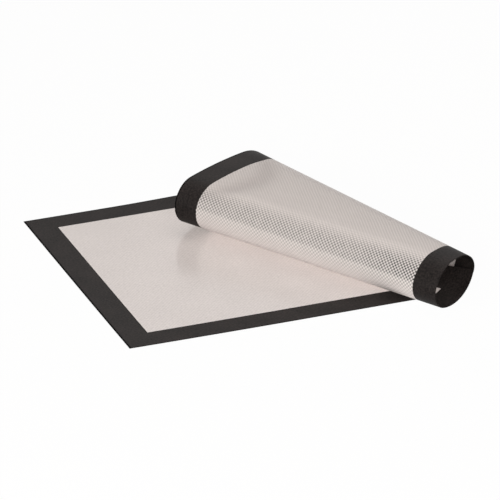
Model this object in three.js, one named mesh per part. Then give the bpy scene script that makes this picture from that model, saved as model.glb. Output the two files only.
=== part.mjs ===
// A baking mat, lying flat at the left and loosely rolled up from its right-hand end.
// It is a bonded sheet: glass cloth between two silicone coats, with a black silicone border on each face.
// Every layer follows one sheet that is bent only along straight lines, so it unrolls to a true rectangle.
// X runs along the long side, Y from the front edge to the back edge, Z up. Millimetres and degrees.

import * as THREE from 'three';

// Driving dimensions of the flat mat.
const MAT_LENGTH = 520;
const MAT_WIDTH = 315;
const BORDER_WIDTH = 26.5;
const EDGE_SEAL = 2;
const CLOTH_THICKNESS = 0.25;
const TOP_COAT = 0.25;
const BOTTOM_COAT = 0.25;
const BOND_LINE = 0.02;

// The length of the front edge and of the back edge that is taken up into the roll.
const ROLLED_FRONT = 203.8;
const ROLLED_BACK = 285.7;

// The roll, bend by bend from the table up, over and in again. A bend takes a length of the front edge and
// a length of the back edge, which makes it a piece of a cone, and it turns the sheet by an angle.
const FAR_WALL = { front: 46.5, back: 33, turn: 119.5 };
const CROWN = { front: 25.5, back: 49.5, turn: 55 };
const LONG_SLOPE = { front: 10, back: 81, turn: 7.5 };
const NEAR_SHOULDER_TURN = 61;
const NEAR_FOOT = { front: 30, back: 35.7, turn: 100.5 };
const INNER_WRAP = { front: 72, back: 265 };

// The roll rests on the flat part, and its free front corner springs out towards the far wall.
const REST_GAP = 0.6;
const FREE_CORNER_GAP = 3;

// One flat strip stands for at most this much turn.
const STRIP_TURN = 5.5;

// Heights of the layers over the middle of the cloth.
const CLOTH_TOP = CLOTH_THICKNESS / 2;
const CLOTH_BOTTOM = -CLOTH_THICKNESS / 2;
const TOP = CLOTH_TOP + TOP_COAT;
const BOTTOM = CLOTH_BOTTOM - BOTTOM_COAT;

const SILICONE_BEIGE = new THREE.MeshStandardMaterial({ color: 0xd4cbc6, roughness: 0.32, metalness: 0 });
const SILICONE_WOVEN = new THREE.MeshStandardMaterial({ color: 0xc4bbb6, roughness: 0.55, metalness: 0 });
const SILICONE_BLACK = new THREE.MeshStandardMaterial({ color: 0x3a3635, roughness: 0.5, metalness: 0 });
const GLASS_CLOTH = new THREE.MeshStandardMaterial({ color: 0xe6e2da, roughness: 0.7, metalness: 0 });

// The fold lines of the flat cut, from the table to the free end. Each bend is shared out over its folds.
function foldLines(bends) {
  const folds = [];
  let front = MAT_LENGTH - ROLLED_FRONT;
  let back = MAT_LENGTH - ROLLED_BACK;
  for (const bend of bends) {
    const count = Math.max(1, Math.ceil(bend.turn / STRIP_TURN));
    for (let i = 0; i < count; i += 1) {
      const share = (i + 0.5) / count;
      folds.push({
        front: front + bend.front * share,
        back: back + bend.back * share,
        turn: THREE.MathUtils.degToRad(bend.turn / count),
        bend,
      });
    }
    front += bend.front;
    back += bend.back;
  }
  return folds;
}

// A turn of the sheet about a fold line, upwards on the line's right-hand side.
function turnAbout(fold, angle) {
  const axis = new THREE.Vector3(fold.front - fold.back, -MAT_WIDTH, 0).normalize();
  const there = new THREE.Matrix4().makeTranslation(fold.front, 0, 0);
  const back = new THREE.Matrix4().makeTranslation(-fold.front, 0, 0);
  return there.multiply(new THREE.Matrix4().makeRotationAxis(axis, angle)).multiply(back);
}

// The pose of each flat strip, the first being the part that lies on the table.
function stripPoses(folds) {
  const poses = [new THREE.Matrix4()];
  for (const fold of folds) {
    poses.push(poses.at(-1).clone().multiply(turnAbout(fold, fold.turn)));
  }
  return poses;
}

// How far the roll clears itself: the foot and the inner wrap over the flat part, on the front edge and on
// the back edge, and the free front corner inside the far wall. Below zero the turns would cross.
function gapsBetweenTurns(bends) {
  const folds = foldLines(bends);
  const poses = stripPoses(folds);
  const thickness = TOP - BOTTOM;
  const overFlat = (edge, y) => {
    const heights = folds.map((fold, i) => {
      const inside = bends.indexOf(fold.bend) > bends.indexOf(LONG_SLOPE) && fold[edge] < MAT_LENGTH;
      return inside ? new THREE.Vector3(fold[edge], y, 0).applyMatrix4(poses[i]).z : Infinity;
    });
    return Math.min(...heights) - thickness;
  };
  const lastStrip = folds.filter((fold) => fold.front < MAT_LENGTH).length;
  const corner = new THREE.Vector3(MAT_LENGTH, 0, 0).applyMatrix4(poses[lastStrip]);
  const farWall = poses.filter((pose, i) => folds[i]?.bend === FAR_WALL);
  const depths = farWall.map((pose) => corner.clone().applyMatrix4(pose.clone().invert()).z);
  const cornerGap = Math.min(...depths) - thickness;
  return new THREE.Vector3(overFlat('front', 0), overFlat('back', MAT_WIDTH), cornerGap);
}

// The sheet springs open inside itself. The near shoulder is as long, on each edge, as it takes to bring the
// foot down onto the flat part, and the inner wrap turns until its free corner is that near to the far wall.
// These three sizes are found together by Newton's method.
function restingBends() {
  const shoulder = { front: NEAR_FOOT.front, back: NEAR_FOOT.back, turn: NEAR_SHOULDER_TURN };
  const innerWrap = { ...INNER_WRAP, turn: NEAR_FOOT.turn };
  const bends = [FAR_WALL, CROWN, LONG_SLOPE, shoulder, NEAR_FOOT, innerWrap];
  const unknowns = [[shoulder, 'front'], [shoulder, 'back'], [innerWrap, 'turn']];
  const target = new THREE.Vector3(REST_GAP, REST_GAP, FREE_CORNER_GAP);
  const nudge = 0.01;
  const rounds = 20;
  for (let round = 0; round < rounds; round += 1) {
    const gaps = gapsBetweenTurns(bends);
    const slopes = unknowns.map(([bend, size]) => {
      bend[size] += nudge;
      const slope = gapsBetweenTurns(bends).sub(gaps).divideScalar(nudge);
      bend[size] -= nudge;
      return slope;
    });
    const change = target.clone().sub(gaps);
    const basis = new THREE.Matrix4().makeBasis(...slopes);
    change.applyMatrix3(new THREE.Matrix3().setFromMatrix4(basis).invert());
    unknowns.forEach(([bend, size], i) => {
      bend[size] += change.getComponent(i);
    });
  }
  return bends;
}

const bends = restingBends();
const folds = foldLines(bends);
const poses = stripPoses(folds);
const halfPoses = folds.map((fold, i) => poses[i].clone().multiply(turnAbout(fold, fold.turn / 2)));

// How far a point of the flat cut lies to the right of a fold line.
function rightOf(fold, point) {
  return point.x - THREE.MathUtils.lerp(fold.front, fold.back, point.y / MAT_WIDTH);
}

// The part of a convex polygon on one side of a fold line, 1 for its right and -1 for its left.
function clip(polygon, fold, side) {
  const kept = [];
  polygon.forEach((from, i) => {
    const to = polygon[(i + 1) % polygon.length];
    const a = rightOf(fold, from) * side;
    const b = rightOf(fold, to) * side;
    if (a >= 0) kept.push(from);
    if (a * b < 0) kept.push(from.clone().lerp(to, a / (a - b)));
  });
  return kept;
}

// A layer's flat outline, divided by the fold lines and by the rings that its section has.
// Each ring starts at an inset from the mat's edge, and holds the heights of the layer from there inwards.
function flatCells(rings) {
  const insets = rings.map(({ inset }) => inset);
  const across = (size) => [...insets, ...insets.map((inset) => size - inset).reverse()];
  const columns = across(MAT_LENGTH);
  const rows = across(MAT_WIDTH);
  const ringAt = (i) => Math.min(i, columns.length - 2 - i);
  const cells = [];
  for (let strip = 0; strip < poses.length; strip += 1) {
    for (let i = 0; i + 1 < columns.length; i += 1) {
      for (let j = 0; j + 1 < rows.length; j += 1) {
        const { heights } = rings[Math.min(ringAt(i), ringAt(j))];
        let polygon = [
          new THREE.Vector2(columns[i], rows[j]),
          new THREE.Vector2(columns[i + 1], rows[j]),
          new THREE.Vector2(columns[i + 1], rows[j + 1]),
          new THREE.Vector2(columns[i], rows[j + 1]),
        ];
        if (folds[strip - 1]) polygon = clip(polygon, folds[strip - 1], 1);
        if (folds[strip]) polygon = clip(polygon, folds[strip], -1);
        if (heights && polygon.length > 2) cells.push({ strip, polygon, heights });
      }
    }
  }
  return cells;
}

// A point of the flat cut in space, at a height over the middle of the cloth.
// On a fold the layers of the two strips meet in a mitre.
function placed(point, strip, height) {
  const touching = 1e-6;
  const fold = [strip - 1, strip].find((i) => folds[i] && Math.abs(rightOf(folds[i], point)) < touching);
  if (fold === undefined) return new THREE.Vector3(point.x, point.y, height).applyMatrix4(poses[strip]);
  const mitre = height / Math.cos(folds[fold].turn / 2);
  return new THREE.Vector3(point.x, point.y, mitre).applyMatrix4(halfPoses[fold]);
}

// One closed layer. Walls close it where it ends and where the heights of two rings step.
function layer(name, material, rings) {
  const cells = flatCells(rings);
  const decimals = 5;
  const pointKey = (point) => point.toArray().map((value) => value.toFixed(decimals)).join(' ');
  const edgeKey = (from, to) => `${pointKey(from)} to ${pointKey(to)}`;
  const cellAtEdge = new Map();
  for (const cell of cells) {
    cell.edges = cell.polygon.map((from, i) => [from, cell.polygon[(i + 1) % cell.polygon.length]]);
    for (const [from, to] of cell.edges) cellAtEdge.set(edgeKey(from, to), cell);
  }
  const positions = [];
  for (const { strip, polygon, edges, heights: [low, high] } of cells) {
    const face = (corners) => {
      const points = corners.map(([point, height]) => placed(point, strip, height));
      for (let i = 1; i + 1 < points.length; i += 1) {
        positions.push(...points[0].toArray(), ...points[i].toArray(), ...points[i + 1].toArray());
      }
    };
    const wall = (from, to, foot, head) => face([[from, foot], [to, foot], [to, head], [from, head]]);
    face(polygon.map((point) => [point, high]));
    face(polygon.map((point) => [point, low]).reverse());
    for (const [from, to] of edges) {
      const beside = cellAtEdge.get(edgeKey(to, from));
      if (!beside) {
        wall(from, to, low, high);
        continue;
      }
      const [lowBeside, highBeside] = beside.heights;
      if (low < lowBeside) wall(from, to, low, lowBeside);
      if (high > highBeside) wall(from, to, highBeside, high);
    }
  }
  const geometry = new THREE.BufferGeometry();
  geometry.setAttribute('position', new THREE.Float32BufferAttribute(positions, 3));
  geometry.computeVertexNormals();
  const mesh = new THREE.Mesh(geometry, material);
  mesh.name = name;
  return mesh;
}

const sheet = new THREE.Group();
sheet.add(
  layer('glass_cloth', GLASS_CLOTH, [
    { inset: EDGE_SEAL + BOND_LINE, heights: [CLOTH_BOTTOM, CLOTH_TOP] },
  ]),
  layer('cooking_face', SILICONE_BEIGE, [
    { inset: BORDER_WIDTH + BOND_LINE, heights: [CLOTH_TOP + BOND_LINE, TOP] },
  ]),
  layer('underside', SILICONE_WOVEN, [
    { inset: BORDER_WIDTH + BOND_LINE, heights: [BOTTOM, CLOTH_BOTTOM - BOND_LINE] },
  ]),
  layer('border_top', SILICONE_BLACK, [
    { inset: 0, heights: [BOND_LINE / 2, TOP] },
    { inset: EDGE_SEAL, heights: [CLOTH_TOP + BOND_LINE, TOP] },
    { inset: BORDER_WIDTH, heights: null },
  ]),
  layer('border_underside', SILICONE_BLACK, [
    { inset: 0, heights: [BOTTOM, -BOND_LINE / 2] },
    { inset: EDGE_SEAL, heights: [BOTTOM, CLOTH_BOTTOM - BOND_LINE] },
    { inset: BORDER_WIDTH, heights: null },
  ]),
);

const gaps = gapsBetweenTurns(bends).toArray().map((gap) => gap.toFixed(2));
console.log(`gaps between the turns at the front, at the back and at the free corner: ${gaps.join(', ')}`);

// The origin is under the middle of the mat as it lies, on the table.
const extent = new THREE.Box3().setFromObject(sheet);
const middle = extent.getCenter(new THREE.Vector3());
sheet.position.set(-middle.x, -middle.y, -extent.min.z);

const bakingMat = new THREE.Group();
bakingMat.add(sheet);

export default bakingMat;
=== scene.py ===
# The looks of a partly rolled baking mat: glass cloth in silicone, with a black border on both faces.
# The layers are laid out on the flat cut and bent along the same fold lines as the CAD model, in finer steps.
# Sizes of the mat are millimetres and degrees, and what goes to Blender is metres.
# On the flat cut u runs along the mat from its flat end, and v across it from its front edge.

import math

import bpy
import numpy as np
from mathutils import Matrix, Vector


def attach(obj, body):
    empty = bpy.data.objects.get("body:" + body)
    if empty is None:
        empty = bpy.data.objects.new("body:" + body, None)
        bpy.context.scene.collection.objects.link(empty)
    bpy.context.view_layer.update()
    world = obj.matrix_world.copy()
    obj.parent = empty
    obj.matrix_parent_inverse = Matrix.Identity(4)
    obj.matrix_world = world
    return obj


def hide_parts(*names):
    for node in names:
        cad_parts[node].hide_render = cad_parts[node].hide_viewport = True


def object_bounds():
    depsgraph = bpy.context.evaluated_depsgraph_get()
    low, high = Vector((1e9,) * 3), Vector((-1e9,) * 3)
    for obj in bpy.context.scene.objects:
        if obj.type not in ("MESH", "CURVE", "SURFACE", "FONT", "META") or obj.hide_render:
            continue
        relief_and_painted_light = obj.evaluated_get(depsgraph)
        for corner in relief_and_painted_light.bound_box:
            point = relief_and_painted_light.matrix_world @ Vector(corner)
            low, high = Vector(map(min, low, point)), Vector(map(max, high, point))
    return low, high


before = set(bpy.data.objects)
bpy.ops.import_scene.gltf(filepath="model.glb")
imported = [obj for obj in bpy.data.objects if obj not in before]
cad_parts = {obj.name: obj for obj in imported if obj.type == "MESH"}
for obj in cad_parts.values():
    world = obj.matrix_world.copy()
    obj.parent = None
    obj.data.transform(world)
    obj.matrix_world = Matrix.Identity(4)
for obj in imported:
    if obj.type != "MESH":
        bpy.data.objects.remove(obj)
CAD_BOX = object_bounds()
MM = 0.001

# The flat mat, as in the CAD model.
MAT_LENGTH = 520
MAT_WIDTH = 315
BORDER_WIDTH = 26.5
EDGE_SEAL = 2
CLOTH_THICKNESS = 0.25
COAT_THICKNESS = 0.25
BOND_LINE = 0.02
CLOTH_FACE = CLOTH_THICKNESS / 2
SHEET_FACE = CLOTH_FACE + COAT_THICKNESS

# The roll, bend by bend: length on the front edge, length on the back edge, turn.
ROLLED_FRONT = 203.8
ROLLED_BACK = 285.7
FAR_WALL = (46.5, 33, 119.5)
CROWN = (25.5, 49.5, 55)
LONG_SLOPE = (10, 81, 7.5)
NEAR_SHOULDER = (35.44, 27.5, 61)
NEAR_FOOT = (30, 35.7, 100.5)
INNER_WRAP = (72, 265, 105.88)
BENDS = (FAR_WALL, CROWN, LONG_SLOPE, NEAR_SHOULDER, NEAR_FOOT, INNER_WRAP)
FOLD_TURN = 0.5

# Where the mat's left front corner lies in the CAD model's frame, half way through the cloth.
FRONT_TO_MIDDLE = 137.57
CORNER = (CAD_BOX[0].x / MM, -FRONT_TO_MIDDLE, SHEET_FACE)

# The two corners of the flat end stand a little off the table, and so does the back border close to the roll.
FRONT_LIFT = 0.8
BACK_LIFT = 0.2
LIFT_REACH = 170
BORDER_RISE = 1.3
BORDER_RISE_REACH = (90, 195, 205, 232)

# The long slope sags in a bow beside the back border: its depth, the bow's nearest point to the front edge,
# how fast it bends to the back, its spread across the mat and its reach along it.
HOLLOW_DEPTH = 1.6
HOLLOW_NEAREST = (366, 258.5)
HOLLOW_BOW = 0.011
HOLLOW_SPREAD = 10.5
HOLLOW_REACH = (302, 326, 398, 425)

# Steps of the mesh along the mat, across it, and along the flat part, which ends a little before the roll.
STEP_ALONG = 2
STEP_ACROSS = 4
STEP_FLAT = 16
LEAD_IN = 8
ROLL_START = MAT_LENGTH - ROLLED_BACK - LEAD_IN
SHORTEST_STEP = 0.3
SHARP_ANGLE = 50

# The rounding of the mat's outer edge, and the point half way round it as shares of it: inwards and up.
EDGE_ROUND = 0.22
ROUND_IN = 0.3
ROUND_UP = 0.7

# The plain weave of the glass cloth: the pitch of its threads along and across the mat, and how far and over
# which lengths they wander.
PITCH_ALONG = 1.84
PITCH_ACROSS = 1.95
WANDER = 0.15
WANDER_ALONG = 57
WANDER_ACROSS = 83

# Over the near shoulder the weave carries painted light: painted shade in its gaps, and its relief stands out
# in the mesh, from none to full, and back to none. Below the shoulder the painted shade turns into a painted
# highlight, and it all shows less from a line across the mat to the back.
# The mesh is fine enough for the weave's relief in a band along the mat.
WEAVE_TURNS = (189, 225, 258, 292)
WEAVE_PAINTED_HIGHLIGHT = (244, 257)
WEAVE_ACROSS = (30, 120)
WEAVE_AT_BACK = 0.65
WEAVE_DEPTH = 0.2
WEAVE_BAND = (400, 450)

# Past the cloth the two black coats lie on each other. At the flat end and the back edge the black is darker
# and
# shines less: fully up to this inset, and no more from the end of the seal.
DEEP_EDGE = 1.1

# On the map for baking the low face lies over the high face: the height of each, and how far it is moved up.
BAKE_HEIGHT = 0.8
BAKE_MOVE = 0.5


# Fold lines and strips

def fold_lines():
    """Each fold line of the flat cut: where it crosses the front edge and the back edge, and its turn."""
    rows = []
    front = MAT_LENGTH - ROLLED_FRONT
    back = MAT_LENGTH - ROLLED_BACK
    for along_front, along_back, turn in BENDS:
        count = max(1, round(abs(turn) / FOLD_TURN))
        for i in range(count):
            share = (i + 0.5) / count
            rows.append((front + along_front * share, back + along_back * share, math.radians(turn / count)))
        front += along_front
        back += along_back
    return np.array(rows)


def turn_about(front, back, turn):
    """A turn of the sheet about a fold line, upwards on the line's right-hand side."""
    axis = np.array((front - back, -MAT_WIDTH, 0.0))
    axis /= np.linalg.norm(axis)
    x, y, _ = axis
    cross = np.array(((0, 0, y), (0, 0, -x), (-y, x, 0)))
    matrix = np.eye(4)
    matrix[:3, :3] += math.sin(turn) * cross + (1 - math.cos(turn)) * cross @ cross
    foot = np.array((front, 0.0, 0.0))
    matrix[:3, 3] = foot - matrix[:3, :3] @ foot
    return matrix


def strip_poses(folds):
    """The pose in space of each strip between two fold lines."""
    poses = [np.eye(4)]
    for fold in folds:
        poses.append(poses[-1] @ turn_about(*fold))
    return np.array(poses)


FOLDS = fold_lines()
POSES = strip_poses(FOLDS)


def crossings(v):
    """Where the fold lines cross a line along the mat."""
    return FOLDS[:, 0] + (FOLDS[:, 1] - FOLDS[:, 0]) * v / MAT_WIDTH


def smooth(value, start, end):
    share = np.clip((value - start) / (end - start), 0, 1)
    return share * share * (3 - 2 * share)


def plateau(value, start, full, fading, end):
    """From 0 at the start to 1 where it is full, and back to 0 at the end."""
    return smooth(value, start, full) * (1 - smooth(value, fading, end))


def hollow(u, v):
    """1 along the line of the hollow in the long slope, 0 away from it. It bends the sheet, and shade is
    painted along it.
    """
    line = HOLLOW_NEAREST[1] + HOLLOW_BOW * (u - HOLLOW_NEAREST[0]) ** 2
    return plateau(u, *HOLLOW_REACH) * np.exp(-0.5 * ((v - line) / HOLLOW_SPREAD) ** 2)


def lift(u, v):
    """How far the sheet stands off its bent form, towards its cooking face."""
    reach = np.clip(1 - u / LIFT_REACH, 0, 1) ** 2
    corners = reach * (FRONT_LIFT * (1 - v / MAT_WIDTH) ** 3 + BACK_LIFT * (v / MAT_WIDTH) ** 3)
    border = plateau(u, *BORDER_RISE_REACH) * smooth(v, MAT_WIDTH - BORDER_WIDTH, MAT_WIDTH)
    return corners + BORDER_RISE * border + HOLLOW_DEPTH * hollow(u, v)


def in_space(u, v, height):
    """Points of the flat cut in space, in millimetres, at heights over the middle of the cloth."""
    strip = np.empty(u.shape, int)
    for row in range(u.shape[1]):
        strip[:, row] = np.searchsorted(crossings(v[0, row]), u[:, row])
    flat = np.stack((u, v, height + lift(u, v), np.ones(u.shape)), -1)
    return np.einsum("...ij,...j->...i", POSES[strip], flat)[..., :3]


def turn_at(u, v):
    """How far the sheet has turned, in degrees, from the table to points of the flat cut."""
    turns = np.degrees(np.cumsum(FOLDS[:, 2]))
    out = np.empty(u.shape)
    for row in range(u.shape[1]):
        out[:, row] = np.interp(u[:, row], crossings(v[0, row]), turns)
    return out


# The weave

def thread_place(u, v):
    """A place of the flat cut counted by the threads of the cloth, which wander a little."""
    bow = np.sin(2 * math.pi * (v / WANDER_ALONG + u / WANDER_ACROSS))
    skew = np.sin(2 * math.pi * (u / WANDER_ALONG - v / WANDER_ACROSS))
    return u + WANDER * bow, v + WANDER * skew


def weave_relief_and_painted_light(u, v):
    """How strong the weave's relief and the shade painted on it are on the underside, from 0 to 1."""
    return plateau(turn_at(u, v), *WEAVE_TURNS) * (1 - (1 - WEAVE_AT_BACK) * smooth(v, *WEAVE_ACROSS))


def weave_relief(u, v):
    """The relief of the weave on the underside, from -0.5 in the gaps to 0.5 on the crossings."""
    along, across = thread_place(u, v)
    return 0.5 * np.cos(math.pi * along / PITCH_ALONG) * np.cos(math.pi * across / PITCH_ACROSS)


# Meshes of the layers

def lines(first, last, step, extra):
    """Grid lines from first to last, at least as close as step(place), with the extra ones among them."""
    stops = sorted({first, last, *(stop for stop in extra if first < stop < last)})
    out = [first]
    for start, end in zip(stops, stops[1:]):
        place = start
        while place < end:
            place = min(end, place + step(place))
            if end - place < SHORTEST_STEP * step(place):
                place = end
            out.append(place)
    return np.array(out)


def inset_of(u, v):
    """How far points of the flat cut lie from the mat's nearest edge."""
    return np.minimum(np.minimum(u, MAT_LENGTH - u), np.minimum(v, MAT_WIDTH - v))


def on_both(values, used):
    """Values on the grid, given to the points of the high face and the low face that are used."""
    return np.concatenate((values, values))[used]


def add_map(mesh, name, places):
    layer_map = mesh.uv_layers.new(name=name)
    layer_map.uv.foreach_set("vector", places.astype(np.float32).ravel())


def layer(name, section, woven):
    """A closed layer. Its section is a list of (inset from the mat's edge, low, high), from outside in.
    If the last inset is the border's, the layer is a frame, closed by a wall, and its middle stays open.
    A woven layer carries the relief of the weave on its low face."""

    def step_along(place):
        if place < ROLL_START:
            return STEP_FLAT
        if woven and WEAVE_BAND[0] <= place < WEAVE_BAND[1]:
            return PITCH_ALONG / 2
        return STEP_ALONG

    def step_across(_):
        return PITCH_ACROSS / 2 if woven else STEP_ACROSS

    insets = [row[0] for row in section]
    first = insets[0]
    stops_along = [ROLL_START, *WEAVE_BAND, *insets, *(MAT_LENGTH - i for i in insets)]
    stops_across = [*insets, *(MAT_WIDTH - i for i in insets)]
    columns = lines(first, MAT_LENGTH - first, step_along, stops_along)
    rows = lines(first, MAT_WIDTH - first, step_across, stops_across)
    u, v = np.meshgrid(columns, rows, indexing="ij")
    relief_and_painted_light = weave_relief_and_painted_light(u, v)
    inset = inset_of(u, v)
    low = np.interp(inset, insets, [row[1] for row in section])
    high = np.interp(inset, insets, [row[2] for row in section])
    if woven:
        low = low - WEAVE_DEPTH * relief_and_painted_light * weave_relief(u, v)

    middle_u = (columns[1:] + columns[:-1]) / 2
    middle_v = (rows[1:] + rows[:-1]) / 2
    cell_inset = inset_of(middle_u[:, None], middle_v[None, :])
    is_frame = insets[-1] == BORDER_WIDTH
    kept = cell_inset < BORDER_WIDTH if is_frame else np.ones(cell_inset.shape, bool)

    count = u.size
    ids = np.arange(count).reshape(u.shape)
    a, b, c, d = ids[:-1, :-1][kept], ids[1:, :-1][kept], ids[1:, 1:][kept], ids[:-1, 1:][kept]
    faces = [np.stack((a, b, c, d), 1), np.stack((d, c, b, a), 1) + count]
    edges = np.concatenate([np.stack(pair, 1) for pair in ((a, b), (b, c), (c, d), (d, a))])
    _, where, uses = np.unique(np.sort(edges, 1), axis=0, return_index=True, return_counts=True)
    rim = edges[where[uses == 1]]
    faces.append(np.stack((rim[:, 1], rim[:, 0], rim[:, 0] + count, rim[:, 1] + count), 1))
    quads = np.concatenate(faces)

    points = np.concatenate((in_space(u, v, high).reshape(-1, 3), in_space(u, v, low).reshape(-1, 3)))
    used = np.unique(quads)
    new_id = np.full(2 * count, -1)
    new_id[used] = np.arange(used.size)
    quads = new_id[quads]
    points = (points[used] + np.array(CORNER)) * MM
    mesh = bpy.data.meshes.new(name)
    mesh.from_pydata(points.tolist(), [], quads.tolist())

    loops = quads.ravel()
    flat = on_both(np.stack((u, v), -1).reshape(-1, 2), used)[loops]
    threads = on_both(np.stack(thread_place(u, v), -1).reshape(-1, 2), used)[loops]
    add_map(mesh, "flat", flat * MM)
    add_map(mesh, "threads", threads * MM)
    on_low_face = np.repeat((used >= count)[quads].mean(1), 4) > 0.5
    bake = flat / MAT_LENGTH
    bake[:, 1] = bake[:, 1] * BAKE_HEIGHT + BAKE_MOVE * on_low_face
    add_map(mesh, "OFBake", bake)

    from_deep = np.minimum(u, MAT_WIDTH - v)
    # These marks give the weave's relief and the shade and highlight painted on it, the deep edge, and where
    # shade is painted into the hollow.
    marks = {
        "weave_relief_and_painted_light": relief_and_painted_light,
        "weave_painted_highlight": smooth(turn_at(u, v), *WEAVE_PAINTED_HIGHLIGHT),
        "deep_edge": 1 - np.clip((from_deep - DEEP_EDGE) / (EDGE_SEAL - DEEP_EDGE), 0, 1),
        "hollow": hollow(u, v),
    }
    for mark, values in marks.items():
        attribute = mesh.attributes.new(mark, "FLOAT", "POINT")
        attribute.data.foreach_set("value", on_both(values.ravel(), used).astype(np.float32))
    mesh.shade_smooth()
    mesh.set_sharp_from_angle(angle=math.radians(SHARP_ANGLE))
    mesh.validate()
    piece = bpy.data.objects.new(name, mesh)
    bpy.context.collection.objects.link(piece)
    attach(piece, "root")
    return piece


# Materials

class Nodes:
    """A material's node tree, with short ways to add to it."""

    def __init__(self, name):
        self.material = bpy.data.materials.new(name)
        self.material.use_nodes = True
        self.tree = self.material.node_tree
        self.shader = self.tree.nodes["Principled BSDF"]

    def join(self, socket, value):
        if isinstance(value, bpy.types.NodeSocket):
            self.tree.links.new(value, socket)
        else:
            socket.default_value = value

    def set(self, name, value):
        """A value or a node's output for one of the shader's sockets."""
        self.join(self.shader.inputs[name], value)

    def add(self, kind, inputs=None, **settings):
        node = self.tree.nodes.new(kind)
        for key, value in settings.items():
            setattr(node, key, value)
        for key, value in (inputs or {}).items():
            self.join(node.inputs[key], value)
        return node

    def math(self, operation, first, second=0.0, third=0.0):
        return self.add("ShaderNodeMath", {0: first, 1: second, 2: third}, operation=operation).outputs[0]

    def mark(self, name):
        """One of the marks that the meshes carry, from 0 to 1."""
        return self.add("ShaderNodeAttribute", attribute_name=name).outputs["Fac"]

    def noise(self, vector, size, detail=2.0):
        """Noise over a length of the sheet, from 0 to 1."""
        inputs = {"Vector": vector, "Scale": 1 / (size * MM), "Detail": detail}
        return self.add("ShaderNodeTexNoise", inputs).outputs["Fac"]

    def between(self, value, low, high):
        """A value from 0 to 1, mapped to low and high."""
        inputs = {"Value": value, "To Min": low, "To Max": high}
        return self.add("ShaderNodeMapRange", inputs).outputs["Result"]

    def stretched(self, value, low, high):
        """A value from low to high, mapped to 0 and 1."""
        inputs = {"Value": value, "From Min": low, "From Max": high}
        return self.add("ShaderNodeMapRange", inputs).outputs["Result"]

    def colour(self, share, first, second, blend="MIX"):
        mix = self.add("ShaderNodeMix", data_type="RGBA", blend_type=blend)
        self.join(mix.inputs["Factor"], share)
        self.join(mix.inputs["A"], first)
        self.join(mix.inputs["B"], second)
        return mix.outputs["Result"]

    def bump(self, height, depth, normal=None):
        inputs = {"Height": height, "Distance": depth * MM, "Strength": 1.0}
        if normal is not None:
            inputs["Normal"] = normal
        return self.add("ShaderNodeBump", inputs).outputs["Normal"]


def weave(nodes):
    """The places on the flat cut, and the relief of the weave from 0 in the gaps to 1 on the crossings."""
    flat = nodes.add("ShaderNodeUVMap", uv_map="flat").outputs["UV"]
    threads = nodes.add("ShaderNodeUVMap", uv_map="threads").outputs["UV"]
    split = nodes.add("ShaderNodeSeparateXYZ", {0: threads})
    warp = nodes.math("COSINE", nodes.math("MULTIPLY", split.outputs["X"], math.pi / (PITCH_ALONG * MM)))
    weft = nodes.math("COSINE", nodes.math("MULTIPLY", split.outputs["Y"], math.pi / (PITCH_ACROSS * MM)))
    over = nodes.math("MULTIPLY", warp, weft)
    relief = nodes.math("MULTIPLY_ADD", over, 0.5, 0.5)
    return flat, relief


# Sizes of noise and depths of bump are millimetres. Clouds are broad, grains are fine.
CLOUD_SIZE = 45
CLOUD_DETAIL = 3.0

# The smooth cooking face: its colour mixes the weave, the grain and the clouds by these shares.
SMOOTH_DARK = (0.473, 0.438, 0.43, 1)
SMOOTH_PALE = (0.931, 0.875, 0.862, 1)
SMOOTH_GRAIN = 2.4
SMOOTH_WEAVE_SHARE = 0.24
SMOOTH_GRAIN_SHARE = 0.6
SMOOTH_EVEN_SHARE = 0.08
SMOOTH_CLOUD_SHARE = 0.15
SMOOTH_ROUGHNESS = (0.16, 0.24)
SMOOTH_WEAVE_BUMP = 0.012
SMOOTH_GRAIN_BUMP = 0.006
SMOOTH_IOR = 1.45


def silicone_smooth():
    nodes = Nodes("silicone_smooth")
    flat, relief = weave(nodes)
    clouds = nodes.noise(flat, CLOUD_SIZE, CLOUD_DETAIL)
    grain = nodes.noise(flat, SMOOTH_GRAIN)
    grainy = nodes.math("MULTIPLY_ADD", grain, SMOOTH_GRAIN_SHARE, SMOOTH_EVEN_SHARE)
    speckle = nodes.math("MULTIPLY_ADD", relief, SMOOTH_WEAVE_SHARE, grainy)
    clear = nodes.math("MULTIPLY", speckle, 1 - SMOOTH_CLOUD_SHARE)
    shade = nodes.math("MULTIPLY_ADD", clouds, SMOOTH_CLOUD_SHARE, clear)
    nodes.set("Base Color", nodes.colour(shade, SMOOTH_DARK, SMOOTH_PALE))
    nodes.set("Roughness", nodes.between(clouds, *SMOOTH_ROUGHNESS))
    woven = nodes.bump(relief, SMOOTH_WEAVE_BUMP)
    nodes.set("Normal", nodes.bump(grain, SMOOTH_GRAIN_BUMP, woven))
    nodes.set("IOR", SMOOTH_IOR)
    return nodes.material


# The underside: faint threads, and over the near shoulder painted light on the weave, with painted shade in
# the gaps beside the crossings, which turns into a painted highlight below it. The painted weave comes and
# goes in patches.
# Shade is painted into the hollow in the long slope.
THREAD_DARK = (0.632, 0.588, 0.576, 1)
THREAD_PALE = (0.687, 0.638, 0.625, 1)
FAINT_GAP = (0.485, 0.453, 0.44, 1)
GAP_PAINTED_SHADE = (0.02, 0.019, 0.018, 1)
GAP_PAINTED_HIGHLIGHT = (0.328, 0.31, 0.302, 1)
CROSSING = (0.635, 0.606, 0.592, 1)
CROSSING_PAINTED_HIGHLIGHT = (0.715, 0.675, 0.657, 1)
HOLLOW_PAINTED_SHADE = (0.83, 0.82, 0.82, 1)
STRONG_CONTRAST = (0.25, 0.75)
PATCH_SIZE = 7
PATCH_STRENGTH = (0.6, 1.3)
WOVEN_GRAIN = 0.5
WOVEN_ROUGHNESS = (0.42, 0.54)
WOVEN_WEAVE_BUMP = 0.22
WOVEN_GRAIN_BUMP = 0.01
WOVEN_IOR = 1.43


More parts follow.
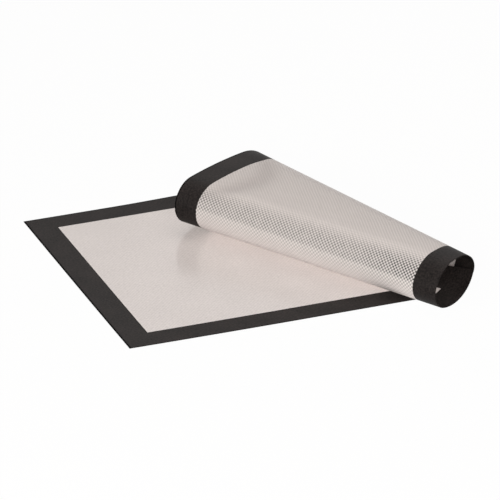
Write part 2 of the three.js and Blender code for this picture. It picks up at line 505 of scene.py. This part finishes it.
def silicone_woven():
    nodes = Nodes("silicone_woven")
    flat, relief = weave(nodes)
    relief_and_painted_light = nodes.mark("weave_relief_and_painted_light")
    painted_highlight_share = nodes.mark("weave_painted_highlight")
    clouds = nodes.noise(flat, CLOUD_SIZE, CLOUD_DETAIL)
    grain = nodes.noise(flat, WOVEN_GRAIN)
    faint = nodes.colour(relief, FAINT_GAP, nodes.colour(clouds, THREAD_DARK, THREAD_PALE))
    # Painted shade in the gaps over the near shoulder, which turns into a painted highlight below it.
    gap = nodes.colour(painted_highlight_share, GAP_PAINTED_SHADE, GAP_PAINTED_HIGHLIGHT)
    crossing = nodes.colour(painted_highlight_share, CROSSING, CROSSING_PAINTED_HIGHLIGHT)
    painted_weave = nodes.colour(nodes.stretched(relief, *STRONG_CONTRAST), gap, crossing)
    patches = nodes.between(nodes.noise(flat, PATCH_SIZE), *PATCH_STRENGTH)
    plain = nodes.colour(nodes.math("MULTIPLY", relief_and_painted_light, patches), faint, painted_weave)
    # Shade painted into the hollow in the long slope.
    nodes.set("Base Color", nodes.colour(nodes.mark("hollow"), plain, HOLLOW_PAINTED_SHADE, "MULTIPLY"))
    nodes.set("Roughness", nodes.between(grain, *WOVEN_ROUGHNESS))
    unshown = nodes.math("MULTIPLY_ADD", relief_and_painted_light, -1.0, 1.0)
    woven = nodes.bump(nodes.math("MULTIPLY", relief, unshown), WOVEN_WEAVE_BUMP)
    nodes.set("Normal", nodes.bump(grain, WOVEN_GRAIN_BUMP, woven))
    nodes.set("IOR", WOVEN_IOR)
    return nodes.material


# The black border. Its shine falls off to the deep edge.
BLACK_DARK = (0.0, 0.0, 0.0, 1)
BLACK_PALE = (0.029, 0.0235, 0.0223, 1)
BLACK_DEEP = (0.002, 0.0018, 0.0017, 1)
BLACK_CLOUD_SIZE = 30
BLACK_CLOUD_SHARE = 0.3
BLACK_GRAIN = 2.0
BLACK_GRAIN_DETAIL = 3.0
BLACK_CONTRAST = (0.3, 0.7)
BLACK_ROUGHNESS = (0.5, 0.64)
BLACK_WEAVE_BUMP = 0.02
BLACK_GRAIN_BUMP = 0.03
BLACK_IOR = 1.4
BLACK_SHINE = (0.125, 0.02)


def silicone_black():
    nodes = Nodes("silicone_black")
    flat, relief = weave(nodes)
    deep = nodes.mark("deep_edge")
    clouds = nodes.noise(flat, BLACK_CLOUD_SIZE, CLOUD_DETAIL)
    grain = nodes.noise(flat, BLACK_GRAIN, BLACK_GRAIN_DETAIL)
    grainy = nodes.math("MULTIPLY", grain, 1 - BLACK_CLOUD_SHARE)
    shade = nodes.math("MULTIPLY_ADD", clouds, BLACK_CLOUD_SHARE, grainy)
    face = nodes.colour(nodes.stretched(shade, *BLACK_CONTRAST), BLACK_DARK, BLACK_PALE)
    nodes.set("Base Color", nodes.colour(deep, face, BLACK_DEEP))
    nodes.set("Roughness", nodes.between(grain, *BLACK_ROUGHNESS))
    woven = nodes.bump(relief, BLACK_WEAVE_BUMP)
    nodes.set("Normal", nodes.bump(grain, BLACK_GRAIN_BUMP, woven))
    nodes.set("IOR", BLACK_IOR)
    nodes.set("Specular IOR Level", nodes.between(deep, *BLACK_SHINE))
    return nodes.material


# The glass cloth between the coats.
CLOTH_DARK = (0.7, 0.67, 0.61, 1)
CLOTH_PALE = (0.85, 0.83, 0.78, 1)
FIBRE_SIZE = 0.2
CLOTH_ROUGHNESS = 0.6
CLOTH_BUMP = 0.1


def glass_cloth():
    nodes = Nodes("glass_cloth")
    flat, relief = weave(nodes)
    shade = nodes.math("MULTIPLY", relief, nodes.noise(flat, FIBRE_SIZE))
    nodes.set("Base Color", nodes.colour(shade, CLOTH_DARK, CLOTH_PALE))
    nodes.set("Roughness", CLOTH_ROUGHNESS)
    nodes.set("Normal", nodes.bump(relief, CLOTH_BUMP))
    return nodes.material


# The layers, each by its material and its section

cloth_inset = EDGE_SEAL + BOND_LINE
coat_inset = BORDER_WIDTH + BOND_LINE
bonded = CLOTH_FACE + BOND_LINE
seam = BOND_LINE / 2
rounded = SHEET_FACE - EDGE_ROUND
half_round = rounded + EDGE_ROUND * ROUND_UP
PIECES = {
    "glass_cloth": (glass_cloth, [(cloth_inset, -CLOTH_FACE, CLOTH_FACE)]),
    "cooking_face": (silicone_smooth, [(coat_inset, bonded, SHEET_FACE)]),
    "underside": (silicone_woven, [(coat_inset, -SHEET_FACE, -bonded)]),
    "border_top": (silicone_black, [
        (0, seam, rounded),
        (EDGE_ROUND * ROUND_IN, seam, half_round),
        (EDGE_ROUND, seam, SHEET_FACE),
        (DEEP_EDGE, seam, SHEET_FACE),
        (EDGE_SEAL, seam, SHEET_FACE),
        (cloth_inset, bonded, SHEET_FACE),
        (BORDER_WIDTH, bonded, SHEET_FACE),
    ]),
    "border_underside": (silicone_black, [
        (0, -rounded, -seam),
        (EDGE_ROUND * ROUND_IN, -half_round, -seam),
        (EDGE_ROUND, -SHEET_FACE, -seam),
        (DEEP_EDGE, -SHEET_FACE, -seam),
        (EDGE_SEAL, -SHEET_FACE, -seam),
        (cloth_inset, -SHEET_FACE, -bonded),
        (BORDER_WIDTH, -SHEET_FACE, -bonded),
    ]),
}
materials = {}
for name, (make, section) in PIECES.items():
    piece = layer("mat_" + name, section, make is silicone_woven)
    if make not in materials:
        materials[make] = make()
    piece.data.materials.append(materials[make])
    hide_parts(name)


# Floor and world, in metres

FLOOR_SIZE = 40
FLOOR_DROP = 0.0002
FLOOR_PAINT = (0.9, 0.9, 0.9, 1)
FLOOR_WHITE = 0.96
WHITE = (1, 1, 1, 1)
AMBIENT = 0.06


def seen_directly(tree):
    """1 for rays that show the background itself: from the camera, a mirror or glass."""
    path = tree.nodes.new("ShaderNodeLightPath")
    total = path.outputs["Is Camera Ray"]
    for kind in ("Is Glossy Ray", "Is Transmission Ray"):
        larger = tree.nodes.new("ShaderNodeMath")
        larger.operation = "MAXIMUM"
        tree.links.new(total, larger.inputs[0])
        tree.links.new(path.outputs[kind], larger.inputs[1])
        total = larger.outputs[0]
    return total


def make_floor():
    mesh = bpy.data.meshes.new("floor")
    half = FLOOR_SIZE / 2
    corners = [(-half, -half, 0), (half, -half, 0), (half, half, 0), (-half, half, 0)]
    mesh.from_pydata(corners, [], [(0, 1, 2, 3)])
    floor = bpy.data.objects.new("floor", mesh)
    floor.location.z = -FLOOR_DROP
    bpy.context.collection.objects.link(floor)
    material = bpy.data.materials.new("floor_white")
    material.use_nodes = True
    tree = material.node_tree
    tree.nodes.clear()
    out = tree.nodes.new("ShaderNodeOutputMaterial")
    paint = tree.nodes.new("ShaderNodeBsdfDiffuse")
    paint.inputs["Color"].default_value = FLOOR_PAINT
    glow = tree.nodes.new("ShaderNodeEmission")
    mix = tree.nodes.new("ShaderNodeMixShader")
    share = tree.nodes.new("ShaderNodeMath")
    share.operation = "MULTIPLY"
    share.inputs[1].default_value = FLOOR_WHITE
    tree.links.new(seen_directly(tree), share.inputs[0])
    tree.links.new(share.outputs[0], mix.inputs[0])
    tree.links.new(paint.outputs[0], mix.inputs[1])
    tree.links.new(glow.outputs[0], mix.inputs[2])
    tree.links.new(mix.outputs[0], out.inputs["Surface"])
    mesh.materials.append(material)


def make_world():
    world = bpy.data.worlds.new("studio")
    world.use_nodes = True
    tree = world.node_tree
    tree.nodes.clear()
    out = tree.nodes.new("ShaderNodeOutputWorld")
    dim = tree.nodes.new("ShaderNodeBackground")
    dim.inputs["Color"].default_value = WHITE
    dim.inputs["Strength"].default_value = AMBIENT
    white = tree.nodes.new("ShaderNodeBackground")
    white.inputs["Color"].default_value = WHITE
    mix = tree.nodes.new("ShaderNodeMixShader")
    tree.links.new(seen_directly(tree), mix.inputs[0])
    tree.links.new(dim.outputs[0], mix.inputs[1])
    tree.links.new(white.outputs[0], mix.inputs[2])
    tree.links.new(mix.outputs[0], out.inputs["Surface"])
    bpy.context.scene.world = world


# Soft lamps, aimed at the middle of the mat: place and size in metres, power in watts, tint.
# The mat lets much light through, so most of the light from above casts no shadow.
ABOVE_SIZE = (1.2, 1.0)
ABOVE_TINT = (1.05, 0.995, 0.94)
ABOVE = ((0.4, 0.3, 1.3), ABOVE_SIZE, 8.96, ABOVE_TINT)
ABOVE_WITH_SHADOW = ((0.4, 0.3, 1.5), ABOVE_SIZE, 2.89, ABOVE_TINT)
LEFT = ((-1.3, -0.36, 0.5), (1.0, 0.4), 8, (1.04, 0.995, 0.955))
FRONT = ((-0.567, -1.594, 0.615), (0.8, 0.5), 18.5, (1.02, 0.995, 0.97))


def make_lamp(name, place, size, power, tint, shadow=True):
    data = bpy.data.lights.new(name, "AREA")
    data.shape = "RECTANGLE"
    data.size, data.size_y = size
    data.energy = power
    data.color = tint
    data.use_shadow = shadow
    lamp = bpy.data.objects.new(name, data)
    lamp.location = place
    lamp.rotation_euler = (-Vector(place)).to_track_quat("-Z", "Y").to_euler()
    bpy.context.collection.objects.link(lamp)


# The camera, fitted to the photograph: its direction, tilt, distance in metres and scale, the picture's width
# in pixels, and the point at the middle of the picture, from the cloth's left front corner.
AZIMUTH = 19.49
ELEVATION = 24
ROLL = -1.456
DISTANCE = 5.304
PIXELS_PER_MM = 1.0606
PICTURE = 500
AIM = (163.49, 123.08, 20)
SENSOR_WIDTH = 36
VIEW_END = 100


def make_camera():
    az, el, roll = (math.radians(angle) for angle in (AZIMUTH, ELEVATION, ROLL))
    level = Vector((math.cos(az), -math.sin(az), 0))
    ahead = Vector((math.sin(az) * math.cos(el), math.cos(az) * math.cos(el), -math.sin(el)))
    upright = level.cross(ahead)
    right = level * math.cos(roll) + upright * math.sin(roll)
    up = upright * math.cos(roll) - level * math.sin(roll)
    half_pixel = 0.5 / PIXELS_PER_MM
    aim = Vector(AIM) + Vector(CORNER) - right * half_pixel + up * half_pixel
    place = aim * MM - ahead * DISTANCE
    data = bpy.data.cameras.new("camera")
    data.sensor_width = SENSOR_WIDTH
    data.lens = SENSOR_WIDTH * PIXELS_PER_MM * DISTANCE / MM / PICTURE
    data.clip_end = VIEW_END
    camera = bpy.data.objects.new("camera", data)
    turned = Matrix((right, up, -ahead)).transposed().to_4x4()
    camera.matrix_world = Matrix.Translation(place) @ turned
    bpy.context.collection.objects.link(camera)
    bpy.context.scene.camera = camera


make_floor()
make_world()
make_lamp("above", *ABOVE, shadow=False)
make_lamp("above_with_shadow", *ABOVE_WITH_SHADOW)
make_lamp("left", *LEFT)
make_lamp("front", *FRONT)
make_camera()
bpy.context.scene.view_settings.view_transform = "Standard"
